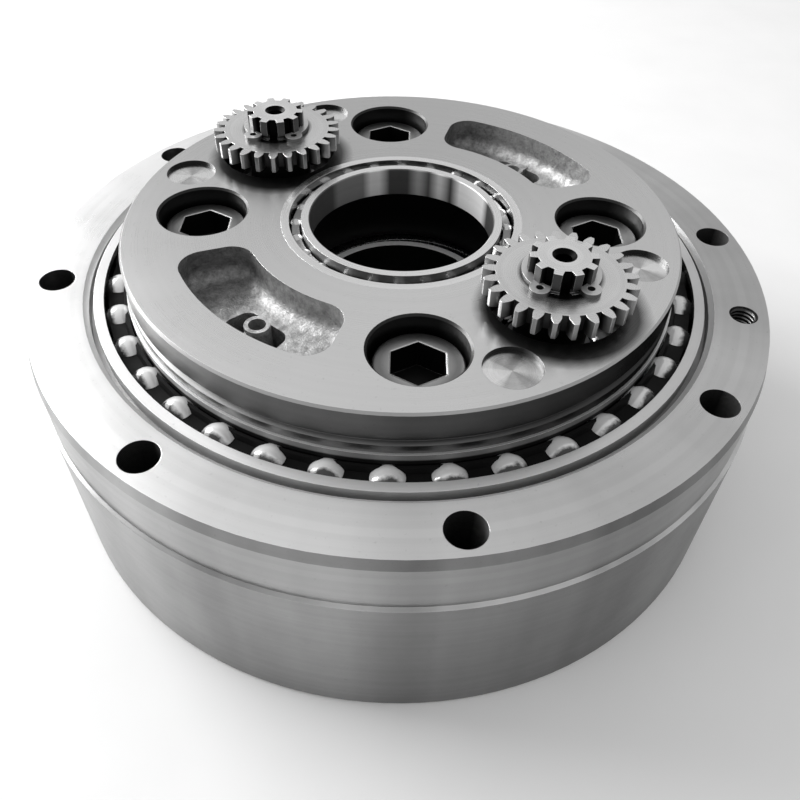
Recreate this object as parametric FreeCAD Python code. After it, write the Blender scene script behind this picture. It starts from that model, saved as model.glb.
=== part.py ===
import FreeCAD, Part
import math
import os

# A cycloidal reducer with a turning flanged carrier, two crankshafts and two lobed discs.
# Millimetres, z up along the main axis, z = 0 on the case's lower face.

V = FreeCAD.Vector
UP = V(0, 0, 1)
ORIGIN = V(0, 0, 0)


def span_angle(radius0, radius1, span):
    # the angle at the axis between two places that are this far apart
    return math.degrees(math.acos((radius0 ** 2 + radius1 ** 2 - span ** 2) / (2.0 * radius0 * radius1)))


# Case; the wide lower body steps in to the flange's band, which ends in a long thin bevel
CASE_R = 111.25
CASE_H = 69.0
BODY_R = CASE_R + 1.0
STEP_Z = CASE_H - 18.4
EDGE = 0.6
BAND_BEVEL = 0.8
BAND_BEVEL_H = 3.4
MOUTH_BEVEL = 1.4
SEAT_R = CASE_R - 17.45
PIN_SECTION_Z0 = 21.0
PIN_SECTION_Z1 = CASE_H - 14.0
BOLT_PCR = SEAT_R + 9.6
BOLT_COUNT = 8
BOLT_HOLE_R = 5.2
BOLT_FIRST_DEG = 8.9
TAPPED_DEG = -13.6
TAPPED_R = 3.4
TAPPED_MOUTH_R = 4.1
TAPPED_DEPTH = 18.0

# Main bearings, sized inwards from their seat in the case
BALL_R = 5.3
BALL_PITCH_R = SEAT_R - 8.0
BALL_COUNT = 36
BALL_FIRST_DEG = -1.2
BALL_CLEAR = 0.05
OUTER_RING_IR = SEAT_R - 4.4
OUTER_RING_RELIEF_R = SEAT_R - 1.5
RELIEF_DEPTH = 4.5
INNER_RING_OR = BALL_PITCH_R - 3.2
INNER_SEAT_R = BALL_PITCH_R - 9.8
BALL_DROP = 6.0
LIP_RISE = 1.6
CAGE_IR = INNER_RING_OR + 0.5
CAGE_OR = OUTER_RING_IR - 0.7
CAGE_RIM_R = CAGE_IR + 0.9
CAGE_RIM_SLOPE = 0.6
CAGE_RIM_TOP = 4.5
CAGE_TOP = 3.0
CAGE_BASE = 6.8

# Cycloid stage
PIN_COUNT = 40
PIN_R = 3.5
PIN_RING_R = SEAT_R - 9.8
PIN_END_GAP = 0.1
LOBE_COUNT = PIN_COUNT - 1
ECCENTRIC = 1.5
LOBE_CLEAR = 0.15
DISC_GAP = 0.8
DISC_Z0 = PIN_SECTION_Z0 + 1.2
DISC_TOP = PIN_SECTION_Z1 - 0.8
DISC_T = (DISC_TOP - DISC_Z0 - DISC_GAP) / 2.0
FLANK_POINTS = 13

# Oil seal
SEAL_Z0 = 1.0
SEAL_Z1 = 6.8
SEAL_WALL = 2.2
SEAL_LIP_T = 1.6
SEAL_GAP = 0.05
SPRING_R = 0.9

# Crank taper bearings
TAPER_BORE_R = 18.5
TAPER_W = 12.0
TAPER_MEAN_R = 14.5
TAPER_AXIS_DEG = 11.0
TAPER_ROLLER_R = 1.75
TAPER_ROLLER_L = 7.6
TAPER_COUNT = 20
TAPER_CLEAR = 0.04
TAPER_CAGE_T = 0.9
TAPER_CAGE_RIM = 0.9
TAPER_POCKET_CLEAR = 0.08

# Carrier
CARRIER_TOP = CASE_H + 15.0
CARRIER_BASE = PIN_SECTION_Z1 + 1.0
CARRIER_R = INNER_RING_OR - 0.7
BAND_GROOVE_Z0 = CARRIER_TOP - 10.8
BAND_GROOVE_Z1 = CARRIER_TOP - 8.1
BAND_GROOVE_DEPTH = 1.2
FLANGE_Z0 = 1.0
FLANGE_TOP = PIN_SECTION_Z0
FLANGE_SEAT_Z0 = FLANGE_TOP - 13.0
CRANK_PCR = PIN_RING_R - 27.7
CRANK_DEG = -42.6
SCREW_PCR = CRANK_PCR + 3.2
CRANK_SCREW_SPAN = 42.08
SCREW_OFFSET_DEG = span_angle(CRANK_PCR, SCREW_PCR, CRANK_SCREW_SPAN)
SCREW_HEAD_R = 12.0
SCREW_HEAD_H = 16.0
SCREW_SHANK_R = 8.0
SCREW_LENGTH = 31.0
SCREW_HOLE_R = 8.5
SCREW_HEX_AF = 14.0
SCREW_HEX_DEPTH = 8.0
COUNTERBORE_R = 13.0
COUNTERBORE_DEPTH = 21.0
PILLAR_R = 14.0
PILLAR_HOLE_R = PILLAR_R + ECCENTRIC + 1.2
PLUG_PCR = CARRIER_R - 10.9
PLUG_OFFSET_DEG = 24.4
PLUG_R = 7.6
PLUG_SINK = 1.2
PLUG_T = 5.0
OUTPUT_PCR = CRANK_PCR + 11.7
OUTPUT_COUNT = 8
OUTPUT_TAP_R = 5.1
OUTPUT_DEPTH = 14.0

# Kidney pockets with a small drilled boss in their windows
POCKET_R0 = CRANK_PCR - 9.8
POCKET_R1 = CRANK_PCR + 11.2
POCKET_OFFSET_DEG = 90.0
POCKET_HALF_DEG = POCKET_OFFSET_DEG - SCREW_OFFSET_DEG - 20.5
POCKET_CORNER = 7.0
POCKET_ROUND = 4.0
POCKET_DEPTH = 9.5
WINDOW_R0 = CRANK_PCR - 2.8
WINDOW_R1 = CRANK_PCR + 7.2
WINDOW_TURN_DEG = 1.3
WINDOW_HALF_DEG = 8.7
WINDOW_CORNER = 3.5
BOSS_PCR = CRANK_PCR + 1.1
BOSS_R = 3.6
BOSS_HOLE_R = 2.4
BOSS_SINK = 7.4
BOSS_HOLE_DEPTH = 10.0
WEB_HALF = 1.6
WEB_SINK = 9.0

# Centre bearing and tube
CENTRE_OR = CRANK_PCR - TAPER_BORE_R - 1.8
CENTRE_OUTER_IR = CENTRE_OR - 2.4
CENTRE_INNER_OR = CENTRE_OR - 6.0
CENTRE_BORE_R = CENTRE_OR - 8.5
CENTRE_W = 9.0
CENTRE_BALL_R = 2.38
CENTRE_BALL_COUNT = 24
CENTRE_CAGE_IR = CENTRE_INNER_OR + 0.7
CENTRE_CAGE_OR = CENTRE_OUTER_IR - 0.7
CENTRE_CAGE_TOP = 1.6
CENTRE_CAGE_BASE = 3.3
CARRIER_BORE_R = CENTRE_OR - 3.0
TUBE_OR = CARRIER_BORE_R - 3.2
TUBE_IR = TUBE_OR - 2.5
TUBE_TOP = CARRIER_BASE - 1.0
DISC_BORE_R = TUBE_OR + ECCENTRIC + 0.7

# Crankshafts
JOURNAL_R = 10.0
ECC_R = 14.0
WEB_R = 12.0
CRANK_Z0 = 6.6
SHOULDER_R = 12.4
GEAR_Z0 = CARRIER_TOP + 3.0
GEAR_T = 4.9
SPLINE_TOP = CARRIER_TOP + 13.8
SPLINE_TEETH = 10
SPLINE_TIP_R = 8.9
SPLINE_ROOT_R = 7.0
SPLINE_TIP_SHARE = 0.20
SPLINE_ROOT_SHARE = 0.30
CENTRE_DRILL_R = 2.1
CENTRE_DRILL_MOUTH = 3.2
CENTRE_DRILL_DEPTH = 7.0
GEAR_MODULE = 1.5
GEAR_TEETH = 25
PRESSURE_DEG = 20.0
DEDENDUM = 1.25
FLANK_STEPS = 4
CLIP_T = 1.3
CLIP_IR = 7.9
CLIP_OR = 10.3
CLIP_GROOVE_R = CLIP_IR
CLIP_HALF_OPEN_DEG = 40.5
CLIP_LUG_PCR = 9.9
CLIP_LUG_R = 2.7
CLIP_LUG_HOLE_R = 1.0
TAPER_UPPER_Z0 = CARRIER_BASE + 0.4
TAPER_LOWER_Z0 = FLANGE_TOP - TAPER_W - 0.4
SNAP_T = 1.5
SNAP_GROOVE_R = TAPER_BORE_R + 0.8
SNAP_OR = TAPER_BORE_R + 0.7
SNAP_IR = TAPER_BORE_R - 2.3
SNAP_OPEN_DEG = 24.0
CAP_T = 3.5
CAP_CUP = 2.0
CAP_WALL = 1.6

# Eccentric needle bearings
NEEDLE_R = 2.0
NEEDLE_GAP = 0.025
NEEDLE_COUNT = 20
NEEDLE_L = DISC_T - 4.0
NEEDLE_CAGE_T = 1.4
NEEDLE_CAGE_END = 0.3
NEEDLE_POCKET_CLEAR = 0.08

# Cutting shapes run past the faces they open
PAST = 1.0
BALL_Z_UPPER = CASE_H - BALL_DROP
BALL_Z_LOWER = FLANGE_SEAT_Z0 + BALL_DROP
CRANK_ANGLES = {"a": CRANK_DEG, "b": CRANK_DEG + 180.0}
SCREW_ANGLES = [base + side * SCREW_OFFSET_DEG for base in CRANK_ANGLES.values() for side in (-1, 1)]
PLUG_ANGLES = [base + side * PLUG_OFFSET_DEG for base in CRANK_ANGLES.values() for side in (-1, 1)]
POCKET_ANGLES = [base + POCKET_OFFSET_DEG for base in CRANK_ANGLES.values()]
DISC_HEIGHTS = {"lower": DISC_Z0, "upper": DISC_Z0 + DISC_T + DISC_GAP}
DISC_SIDE = {"lower": -1.0, "upper": 1.0}
NEEDLE_PITCH_R = ECC_R + NEEDLE_GAP + NEEDLE_R
DISC_CRANK_HOLE_R = NEEDLE_PITCH_R + NEEDLE_R + NEEDLE_GAP


# Helpers
def polar(radius, degrees, z=0.0):
    angle = math.radians(degrees)
    return V(radius * math.cos(angle), radius * math.sin(angle), z)


def rod(radius, z0, z1, at=ORIGIN):
    return Part.makeCylinder(radius, z1 - z0, V(at.x, at.y, z0), UP)


def cone(radius0, radius1, z0, z1, at=ORIGIN):
    return Part.makeCone(radius0, radius1, z1 - z0, V(at.x, at.y, z0), UP)


def ring(outer, inner, z0, z1, at=ORIGIN):
    return rod(outer, z0, z1, at).cut(rod(inner, z0 - PAST, z1 + PAST, at))


def fuse_all(shapes):
    return shapes[0].multiFuse(shapes[1:]).removeSplitter()


def turned(profile, at=ORIGIN):
    corners = [V(radius, 0, z) for radius, z in profile]
    face = Part.Face(Part.makePolygon(corners + corners[:1]))
    solid = face.revolve(ORIGIN, UP, 360)
    solid.translate(at)
    return solid


def edge_bevel(radius, z, size, at=ORIGIN):
    # the widening cone that breaks the mouth of a hole
    return cone(radius, radius + size + size, z - size, z + size, at)


def torus_cut(ball_radius, pitch_radius, z):
    return Part.makeTorus(pitch_radius, ball_radius, V(0, 0, z), UP)


def ball_row(radius, pitch_radius, z, count, first):
    return [Part.makeSphere(radius, polar(pitch_radius, first + 360.0 * k / count, z)) for k in range(count)]


def sector(radius0, radius1, middle, half, z0, z1, corner):
    outer = ring(radius1, radius0, z0, z1)
    reach = radius1 * 2.0
    wedge = Part.Face(Part.makePolygon([V(0, 0, z0), polar(reach, middle - half, z0),
                                        polar(reach, middle, z0),
                                        polar(reach, middle + half, z0), V(0, 0, z0)]))
    block = outer.common(wedge.extrude(V(0, 0, z1 - z0)))
    upright = [edge for edge in block.Edges
               if abs(edge.Vertexes[0].X - edge.Vertexes[-1].X) < 0.01
               and abs(edge.Vertexes[0].Y - edge.Vertexes[-1].Y) < 0.01
               and len(edge.Vertexes) == 2]
    return block.makeFillet(corner, upright)


def prism(points, z0, z1):
    face = Part.Face(Part.makePolygon(points + points[:1]))
    face.translate(V(0, 0, z0))
    return face.extrude(V(0, 0, z1 - z0))


def crank_at(name):
    return polar(CRANK_PCR, CRANK_ANGLES[name])


def eccentric_at(name, level):
    return crank_at(name) + V(DISC_SIDE[level] * ECCENTRIC, 0, 0)


# Case with its pin grooves, bolt holes and one tapped hole
def case():
    body = turned([(SEAT_R, 0), (BODY_R - EDGE, 0), (BODY_R, EDGE), (BODY_R, STEP_Z - EDGE),
                   (CASE_R, STEP_Z), (CASE_R, CASE_H - BAND_BEVEL_H), (CASE_R - BAND_BEVEL, CASE_H),
                   (SEAT_R + MOUTH_BEVEL, CASE_H), (SEAT_R, CASE_H - MOUTH_BEVEL),
                   (SEAT_R, PIN_SECTION_Z1), (PIN_RING_R, PIN_SECTION_Z1),
                   (PIN_RING_R, PIN_SECTION_Z0), (SEAT_R, PIN_SECTION_Z0)])
    cutters = []
    for k in range(PIN_COUNT):
        at = polar(PIN_RING_R, 360.0 * k / PIN_COUNT)
        cutters.append(rod(PIN_R, PIN_SECTION_Z0 - PAST, PIN_SECTION_Z1 + PAST, at))
    for k in range(BOLT_COUNT):
        at = polar(BOLT_PCR, BOLT_FIRST_DEG + 360.0 * k / BOLT_COUNT)
        cutters.append(rod(BOLT_HOLE_R, -PAST, CASE_H + PAST, at))
        cutters.append(edge_bevel(BOLT_HOLE_R - EDGE / 2.0, CASE_H, EDGE / 2.0, at))
    tapped = polar(BOLT_PCR, TAPPED_DEG)
    cutters.append(rod(TAPPED_R, CASE_H - TAPPED_DEPTH, CASE_H + PAST, tapped))
    cutters.append(cone(TAPPED_R, TAPPED_MOUTH_R, CASE_H - EDGE, CASE_H, tapped))
    return body.cut(cutters)


def case_pins():
    z0 = PIN_SECTION_Z0 + PIN_END_GAP
    z1 = PIN_SECTION_Z1 - PIN_END_GAP
    pins = [rod(PIN_R, z0, z1, polar(PIN_RING_R, 360.0 * k / PIN_COUNT)) for k in range(PIN_COUNT)]
    return Part.makeCompound(pins)


# Main bearing rings, balls and crown cages
def outer_ring(z0, z1, ball_z, relief_top):
    profile = [(OUTER_RING_IR, z0), (SEAT_R, z0), (SEAT_R, z1), (OUTER_RING_IR, z1)]
    if relief_top:
        profile = [(OUTER_RING_IR, z0), (SEAT_R, z0), (SEAT_R, z1 - RELIEF_DEPTH),
                   (OUTER_RING_RELIEF_R, z1 - RELIEF_DEPTH), (OUTER_RING_RELIEF_R, z1),
                   (OUTER_RING_IR, z1)]
    return turned(profile).cut(torus_cut(BALL_R + BALL_CLEAR, BALL_PITCH_R, ball_z))


def inner_ring(z0, z1, ball_z):
    body = ring(INNER_RING_OR, INNER_SEAT_R, z0, z1)
    return body.cut(torus_cut(BALL_R + BALL_CLEAR, BALL_PITCH_R, ball_z))


def ball_cage(ball_z, side):
    # the closed side is low and broad, a thin rim stands up beside the inner ring
    profile = [(CAGE_IR, -CAGE_BASE), (CAGE_OR, -CAGE_BASE), (CAGE_OR, CAGE_TOP),
               (CAGE_RIM_R + CAGE_RIM_SLOPE, CAGE_TOP), (CAGE_RIM_R, CAGE_RIM_TOP), (CAGE_IR, CAGE_RIM_TOP)]
    body = turned([(radius, ball_z + side * rise) for radius, rise in profile])
    return body.cut(ball_row(BALL_R + BALL_CLEAR, BALL_PITCH_R, ball_z, BALL_COUNT, BALL_FIRST_DEG))


def main_balls(ball_z):
    return Part.makeCompound(ball_row(BALL_R, BALL_PITCH_R, ball_z, BALL_COUNT, BALL_FIRST_DEG))


# Oil seal under the lower bearing
def oil_seal():
    lip_r = CARRIER_R + SEAL_GAP
    body = turned([(SEAT_R, SEAL_Z0), (SEAT_R, SEAL_Z1), (SEAT_R - SEAL_WALL, SEAL_Z1),
                   (SEAT_R - SEAL_WALL, SEAL_Z0 + SEAL_WALL),
                   (CARRIER_R + SEAL_LIP_T * 2.0, SEAL_Z0 + SEAL_WALL),
                   (CARRIER_R + SEAL_LIP_T * 2.0, SEAL_Z1 - SEAL_LIP_T),
                   (lip_r, SEAL_Z1 - SEAL_LIP_T * 2.0), (CARRIER_R + SEAL_LIP_T, SEAL_Z0)])
    groove = Part.makeTorus(CARRIER_R + SEAL_LIP_T * 2.0, SPRING_R, V(0, 0, SEAL_Z1 - SEAL_LIP_T * 2.0), UP)
    return body.cut(groove)


def seal_spring():
    return Part.makeTorus(CARRIER_R + SEAL_LIP_T * 2.0, SPRING_R, V(0, 0, SEAL_Z1 - SEAL_LIP_T * 2.0), UP)


# Carrier plate with counterbores, plugs' seats and kidney pockets
def kidney(middle):
    floor = CARRIER_TOP - POCKET_DEPTH
    pocket = sector(POCKET_R0, POCKET_R1, middle, POCKET_HALF_DEG, floor, CARRIER_TOP + PAST, POCKET_CORNER)
    bottom = [edge for edge in pocket.Edges if edge.BoundBox.ZMax < floor + EDGE]
    pocket = pocket.makeFillet(POCKET_ROUND, bottom)
    boss_angle = middle + WINDOW_TURN_DEG
    window = sector(WINDOW_R0, WINDOW_R1, boss_angle, WINDOW_HALF_DEG, CARRIER_BASE - PAST, floor + PAST,
                    WINDOW_CORNER)
    boss_at = polar(BOSS_PCR, boss_angle)
    boss_top = CARRIER_TOP - BOSS_SINK
    boss = rod(BOSS_R, CARRIER_BASE - PAST, boss_top, boss_at)
    side = polar(WEB_HALF, boss_angle + 90.0)
    outer = polar(WINDOW_R1 + PAST, boss_angle)
    web = prism([boss_at - side, outer - side, outer + side, boss_at + side],
                CARRIER_BASE - PAST, CARRIER_TOP - WEB_SINK)
    hole = rod(BOSS_HOLE_R, boss_top - BOSS_HOLE_DEPTH, boss_top + PAST, boss_at)
    return pocket.fuse(window).cut([boss, web]).fuse(hole)


def carrier_plate():
    lip = CASE_H + LIP_RISE
    body = turned([(CARRIER_BORE_R, CARRIER_BASE), (INNER_SEAT_R, CARRIER_BASE), (INNER_SEAT_R, lip),
                   (CARRIER_R, lip), (CARRIER_R, BAND_GROOVE_Z0),
                   (CARRIER_R - BAND_GROOVE_DEPTH, BAND_GROOVE_Z0 + BAND_GROOVE_DEPTH / 2.0),
                   (CARRIER_R - BAND_GROOVE_DEPTH, BAND_GROOVE_Z1 - BAND_GROOVE_DEPTH / 2.0),
                   (CARRIER_R, BAND_GROOVE_Z1), (CARRIER_R, CARRIER_TOP - EDGE),
                   (CARRIER_R - EDGE, CARRIER_TOP), (CENTRE_OR, CARRIER_TOP),
                   (CENTRE_OR, CARRIER_TOP - CENTRE_W), (CARRIER_BORE_R, CARRIER_TOP - CENTRE_W)])
    cutters = []
    for name in CRANK_ANGLES:
        at = crank_at(name)
        cutters.append(rod(TAPER_BORE_R, CARRIER_BASE - PAST, CARRIER_TOP + PAST, at))
        snap_z = TAPER_UPPER_Z0 + TAPER_W
        cutters.append(rod(SNAP_GROOVE_R, snap_z, snap_z + SNAP_T, at))
    for angle in SCREW_ANGLES:
        at = polar(SCREW_PCR, angle)
        cutters.append(rod(COUNTERBORE_R, CARRIER_TOP - COUNTERBORE_DEPTH, CARRIER_TOP + PAST, at))
        cutters.append(cone(COUNTERBORE_R, COUNTERBORE_R + EDGE, CARRIER_TOP - EDGE, CARRIER_TOP, at))
        cutters.append(rod(SCREW_HOLE_R, CARRIER_BASE - PAST, CARRIER_TOP, at))
    for angle in PLUG_ANGLES:
        at = polar(PLUG_PCR, angle)
        cutters.append(rod(PLUG_R, CARRIER_TOP - PLUG_SINK - PLUG_T, CARRIER_TOP + PAST, at))
    cutters += [kidney(angle) for angle in POCKET_ANGLES]
    return body.cut(cutters)


def blanking_plugs():
    z1 = CARRIER_TOP - PLUG_SINK
    return Part.makeCompound([rod(PLUG_R, z1 - PLUG_T, z1, polar(PLUG_PCR, angle)) for angle in PLUG_ANGLES])


# Output flange with four pillars, tapped holes on its free face
def output_flange():
    body = turned([(TUBE_IR, FLANGE_Z0), (CARRIER_R - EDGE, FLANGE_Z0), (CARRIER_R, FLANGE_Z0 + EDGE),
                   (CARRIER_R, FLANGE_SEAT_Z0), (INNER_SEAT_R, FLANGE_SEAT_Z0), (INNER_SEAT_R, FLANGE_TOP),
                   (TUBE_OR, FLANGE_TOP), (TUBE_OR, FLANGE_SEAT_Z0), (TUBE_IR, FLANGE_SEAT_Z0)])
    pillars = [rod(PILLAR_R, FLANGE_TOP, CARRIER_BASE, polar(SCREW_PCR, angle)) for angle in SCREW_ANGLES]
    body = body.multiFuse(pillars)
    cutters = []
    for name in CRANK_ANGLES:
        cutters.append(rod(TAPER_BORE_R, FLANGE_Z0 - PAST, FLANGE_TOP + PAST, crank_at(name)))
    for angle in SCREW_ANGLES:
        tip = CARRIER_TOP - COUNTERBORE_DEPTH - SCREW_LENGTH
        cutters.append(rod(SCREW_SHANK_R, tip, CARRIER_BASE + PAST, polar(SCREW_PCR, angle)))
    for k in range(OUTPUT_COUNT):
        at = polar(OUTPUT_PCR, CRANK_DEG + (k + 0.5) * 360.0 / OUTPUT_COUNT)
        cutters.append(rod(OUTPUT_TAP_R, FLANGE_Z0 - PAST, FLANGE_Z0 + OUTPUT_DEPTH, at))
    return body.cut(cutters)


def carrier_screws():
    seat = CARRIER_TOP - COUNTERBORE_DEPTH
    screws = []
    for angle in SCREW_ANGLES:
        at = polar(SCREW_PCR, angle)
        head = rod(SCREW_HEAD_R, seat, seat + SCREW_HEAD_H - EDGE, at)
        crown = cone(SCREW_HEAD_R, SCREW_HEAD_R - EDGE, seat + SCREW_HEAD_H - EDGE, seat + SCREW_HEAD_H, at)
        shank = rod(SCREW_SHANK_R, seat - SCREW_LENGTH, seat, at)
        corner_r = SCREW_HEX_AF / math.sqrt(3.0)
        corners = [at + polar(corner_r, 30.0 + 60.0 * k) for k in range(6)]
        socket = prism(corners, seat + SCREW_HEAD_H - SCREW_HEX_DEPTH, seat + SCREW_HEAD_H + PAST)
        screws.append(fuse_all([head, crown, shank]).cut(socket))
    return Part.makeCompound(screws)


# Centre bearing and its tube
def centre_outer_ring():
    z0 = CARRIER_TOP - CENTRE_W
    body = ring(CENTRE_OR, CENTRE_OUTER_IR, z0, CARRIER_TOP)
    return body.cut(torus_cut(CENTRE_BALL_R + BALL_CLEAR, centre_pitch(), centre_mid()))


def centre_inner_ring():
    z0 = CARRIER_TOP - CENTRE_W
    bevel = EDGE / 2.0
    body = turned([(CENTRE_BORE_R, z0), (CENTRE_INNER_OR, z0), (CENTRE_INNER_OR, CARRIER_TOP),
                   (CENTRE_BORE_R + bevel, CARRIER_TOP), (CENTRE_BORE_R, CARRIER_TOP - bevel)])
    return body.cut(torus_cut(CENTRE_BALL_R + BALL_CLEAR, centre_pitch(), centre_mid()))


def centre_pitch():
    return (CENTRE_OUTER_IR + CENTRE_INNER_OR) / 2.0


def centre_mid():
    return CARRIER_TOP - CENTRE_W / 2.0


def centre_row(radius):
    return ball_row(radius, centre_pitch(), centre_mid(), CENTRE_BALL_COUNT, 0.0)


def centre_balls():
    return Part.makeCompound(centre_row(CENTRE_BALL_R))


def centre_cage():
    low = centre_mid() - CENTRE_CAGE_BASE
    high = centre_mid() + CENTRE_CAGE_TOP
    body = ring(CENTRE_CAGE_OR, CENTRE_CAGE_IR, low, high)
    return body.cut(centre_row(CENTRE_BALL_R + BALL_CLEAR))


def centre_tube():
    return ring(TUBE_OR, TUBE_IR, FLANGE_SEAT_Z0, TUBE_TOP)


# Crankshaft, its spur gear and circlip
def spline_bar(z0, z1, at):
    tooth = 360.0 / SPLINE_TEETH
    points = []
    for k in range(SPLINE_TEETH):
        middle = k * tooth
        points.append(polar(SPLINE_ROOT_R, middle - tooth * SPLINE_ROOT_SHARE))
        points.append(polar(SPLINE_TIP_R, middle - tooth * SPLINE_TIP_SHARE))
        points.append(polar(SPLINE_TIP_R, middle + tooth * SPLINE_TIP_SHARE))
        points.append(polar(SPLINE_ROOT_R, middle + tooth * SPLINE_ROOT_SHARE))
    bar = prism(points, z0, z1)
    bar.translate(at)
    return bar


def crankshaft(name):
    at = crank_at(name)
    low = DISC_HEIGHTS["lower"]
    high = DISC_HEIGHTS["upper"]
    pieces = [rod(JOURNAL_R, CRANK_Z0, GEAR_Z0, at)]
    pieces.append(rod(SHOULDER_R, TAPER_LOWER_Z0 + TAPER_W, low, at))
    pieces.append(rod(WEB_R, low + DISC_T, high, at))
    pieces.append(rod(SHOULDER_R, high + DISC_T, TAPER_UPPER_Z0, at))
    for level, z0 in DISC_HEIGHTS.items():
        pieces.append(rod(ECC_R, z0, z0 + DISC_T, eccentric_at(name, level)))
    pieces.append(spline_bar(GEAR_Z0 - PAST, SPLINE_TOP, at))
    body = fuse_all(pieces)
    groove_z = GEAR_Z0 + GEAR_T
    groove = ring(SPLINE_TIP_R + PAST, CLIP_GROOVE_R, groove_z, groove_z + CLIP_T, at)
    drill = rod(CENTRE_DRILL_R, SPLINE_TOP - CENTRE_DRILL_DEPTH, SPLINE_TOP + PAST, at)
    mouth = cone(CENTRE_DRILL_R, CENTRE_DRILL_MOUTH, SPLINE_TOP - PAST, SPLINE_TOP, at)
    return body.cut([groove, drill, mouth])


def involute_deg(base_r, radius):
    # the angle an involute has swept when it reaches this radius
    roll = math.sqrt(max((radius / base_r) ** 2 - 1.0, 0.0))
    return math.degrees(roll - math.atan(roll))


def tooth_points(middle, base_r, tip_r, root_r):
    # the tooth's two feet and its two flanks, each in order round the gear
    pitch_r = GEAR_MODULE * GEAR_TEETH / 2.0
    half = 90.0 / GEAR_TEETH + involute_deg(base_r, pitch_r)
    radii = [base_r + (tip_r - base_r) * k / FLANK_STEPS for k in range(FLANK_STEPS + 1)]
    rising = [polar(radius, middle - half + involute_deg(base_r, radius)) for radius in radii]
    falling = [polar(radius, middle + half - involute_deg(base_r, radius)) for radius in reversed(radii)]
    return polar(root_r, middle - half), rising, falling, polar(root_r, middle + half)


def curve(points):
    spline = Part.BSplineCurve()
    spline.interpolate(points)
    return spline.toShape()


def arc(first, last, radius):
    middle = first + last
    middle.normalize()
    return Part.Arc(first, middle * radius, last).toShape()


def crank_gear(name):
    pitch_r = GEAR_MODULE * GEAR_TEETH / 2.0
    base_r = pitch_r * math.cos(math.radians(PRESSURE_DEG))
    tip_r = pitch_r + GEAR_MODULE
    root_r = pitch_r - DEDENDUM * GEAR_MODULE
    step = 360.0 / GEAR_TEETH
    teeth = [tooth_points(k * step, base_r, tip_r, root_r) for k in range(GEAR_TEETH)]
    edges = []
    for k in range(GEAR_TEETH):
        foot0, rising, falling, foot1 = teeth[k]
        following = teeth[(k + 1) % GEAR_TEETH][0]
        edges.append(Part.makeLine(foot0, rising[0]))
        edges.append(curve(rising))
        edges.append(arc(rising[-1], falling[0], tip_r))
        edges.append(curve(falling))
        edges.append(Part.makeLine(falling[-1], foot1))
        edges.append(arc(foot1, following, root_r))
    face = Part.Face(Part.Wire(edges))
    face.translate(V(0, 0, GEAR_Z0))
    blank = face.extrude(V(0, 0, GEAR_T))
    blank.translate(crank_at(name))
    return blank.cut(spline_bar(GEAR_Z0 - PAST, GEAR_Z0 + GEAR_T + PAST, crank_at(name)))


def gear_circlip(name):
    at = crank_at(name)
    z0 = GEAR_Z0 + GEAR_T
    z1 = z0 + CLIP_T
    body = ring(CLIP_OR, CLIP_IR, z0, z1, at)
    reach = CLIP_OR * 2.0
    gap = prism([V(0, 0, 0), polar(reach, -90.0 - CLIP_HALF_OPEN_DEG), polar(reach, -90.0),
                 polar(reach, -90.0 + CLIP_HALF_OPEN_DEG)], z0 - PAST, z1 + PAST)
    gap.translate(at)
    lugs = []
    holes = []
    for side in (-1, 1):
        lug_at = at + polar(CLIP_LUG_PCR, -90.0 + side * CLIP_HALF_OPEN_DEG)
        lugs.append(rod(CLIP_LUG_R, z0, z1, lug_at))
        holes.append(rod(CLIP_LUG_HOLE_R, z0 - PAST, z1 + PAST, lug_at))
    neck = rod(CLIP_IR, z0 - PAST, z1 + PAST, at)
    return body.cut(gap).multiFuse(lugs).removeSplitter().cut(holes + [neck])


# Taper roller bearings on the crank journals; big roller ends face the discs
def taper_apex():
    return TAPER_MEAN_R / math.tan(math.radians(TAPER_AXIS_DEG))


def taper_line(z, extra_deg, offset):
    # radius of a raceway line through the apex, at height z from the bearing's middle
    angle = math.radians(TAPER_AXIS_DEG + extra_deg)
    return (taper_apex() - z) * math.tan(angle) + offset / math.cos(angle)


def roller_half_angle():
    reach = math.hypot(TAPER_MEAN_R, taper_apex())
    return math.degrees(math.asin(TAPER_ROLLER_R / reach))


def taper_place(shape, upper, at):
    # the bearing is drawn with its big end at low z; the lower one is turned over
    if not upper:
        shape.rotate(ORIGIN, V(1, 0, 0), 180)
        shape.translate(V(at.x, at.y, TAPER_LOWER_Z0 + TAPER_W / 2.0))
    else:
        shape.translate(V(at.x, at.y, TAPER_UPPER_Z0 + TAPER_W / 2.0))
    return shape


def taper_cup():
    low = -TAPER_W / 2.0
    high = TAPER_W / 2.0
    grow = roller_half_angle()
    return turned([(taper_line(low, grow, TAPER_CLEAR), low), (TAPER_BORE_R, low), (TAPER_BORE_R, high),
                   (taper_line(high, grow, TAPER_CLEAR), high)])


def taper_cone():
    low = -TAPER_W / 2.0
    high = TAPER_W / 2.0
    half = TAPER_ROLLER_L / 2.0 + TAPER_CLEAR + TAPER_CLEAR
    grow = roller_half_angle()
    tilt = math.radians(TAPER_AXIS_DEG)
    rib_low = -half * math.cos(tilt) - TAPER_ROLLER_R * math.sin(tilt)
    rib_high = half * math.cos(tilt) + TAPER_ROLLER_R * math.sin(tilt)
    race_low = taper_line(rib_low, -grow, -TAPER_CLEAR)
    race_high = taper_line(rib_high, -grow, -TAPER_CLEAR)
    return turned([(JOURNAL_R, low), (race_low + TAPER_CAGE_T, low), (race_low + TAPER_CAGE_T, rib_low),
                   (race_low, rib_low), (race_high, rib_high), (race_high + TAPER_CAGE_T / 3.0, rib_high),
                   (race_high + TAPER_CAGE_T / 3.0, high), (JOURNAL_R, high)])


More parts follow.
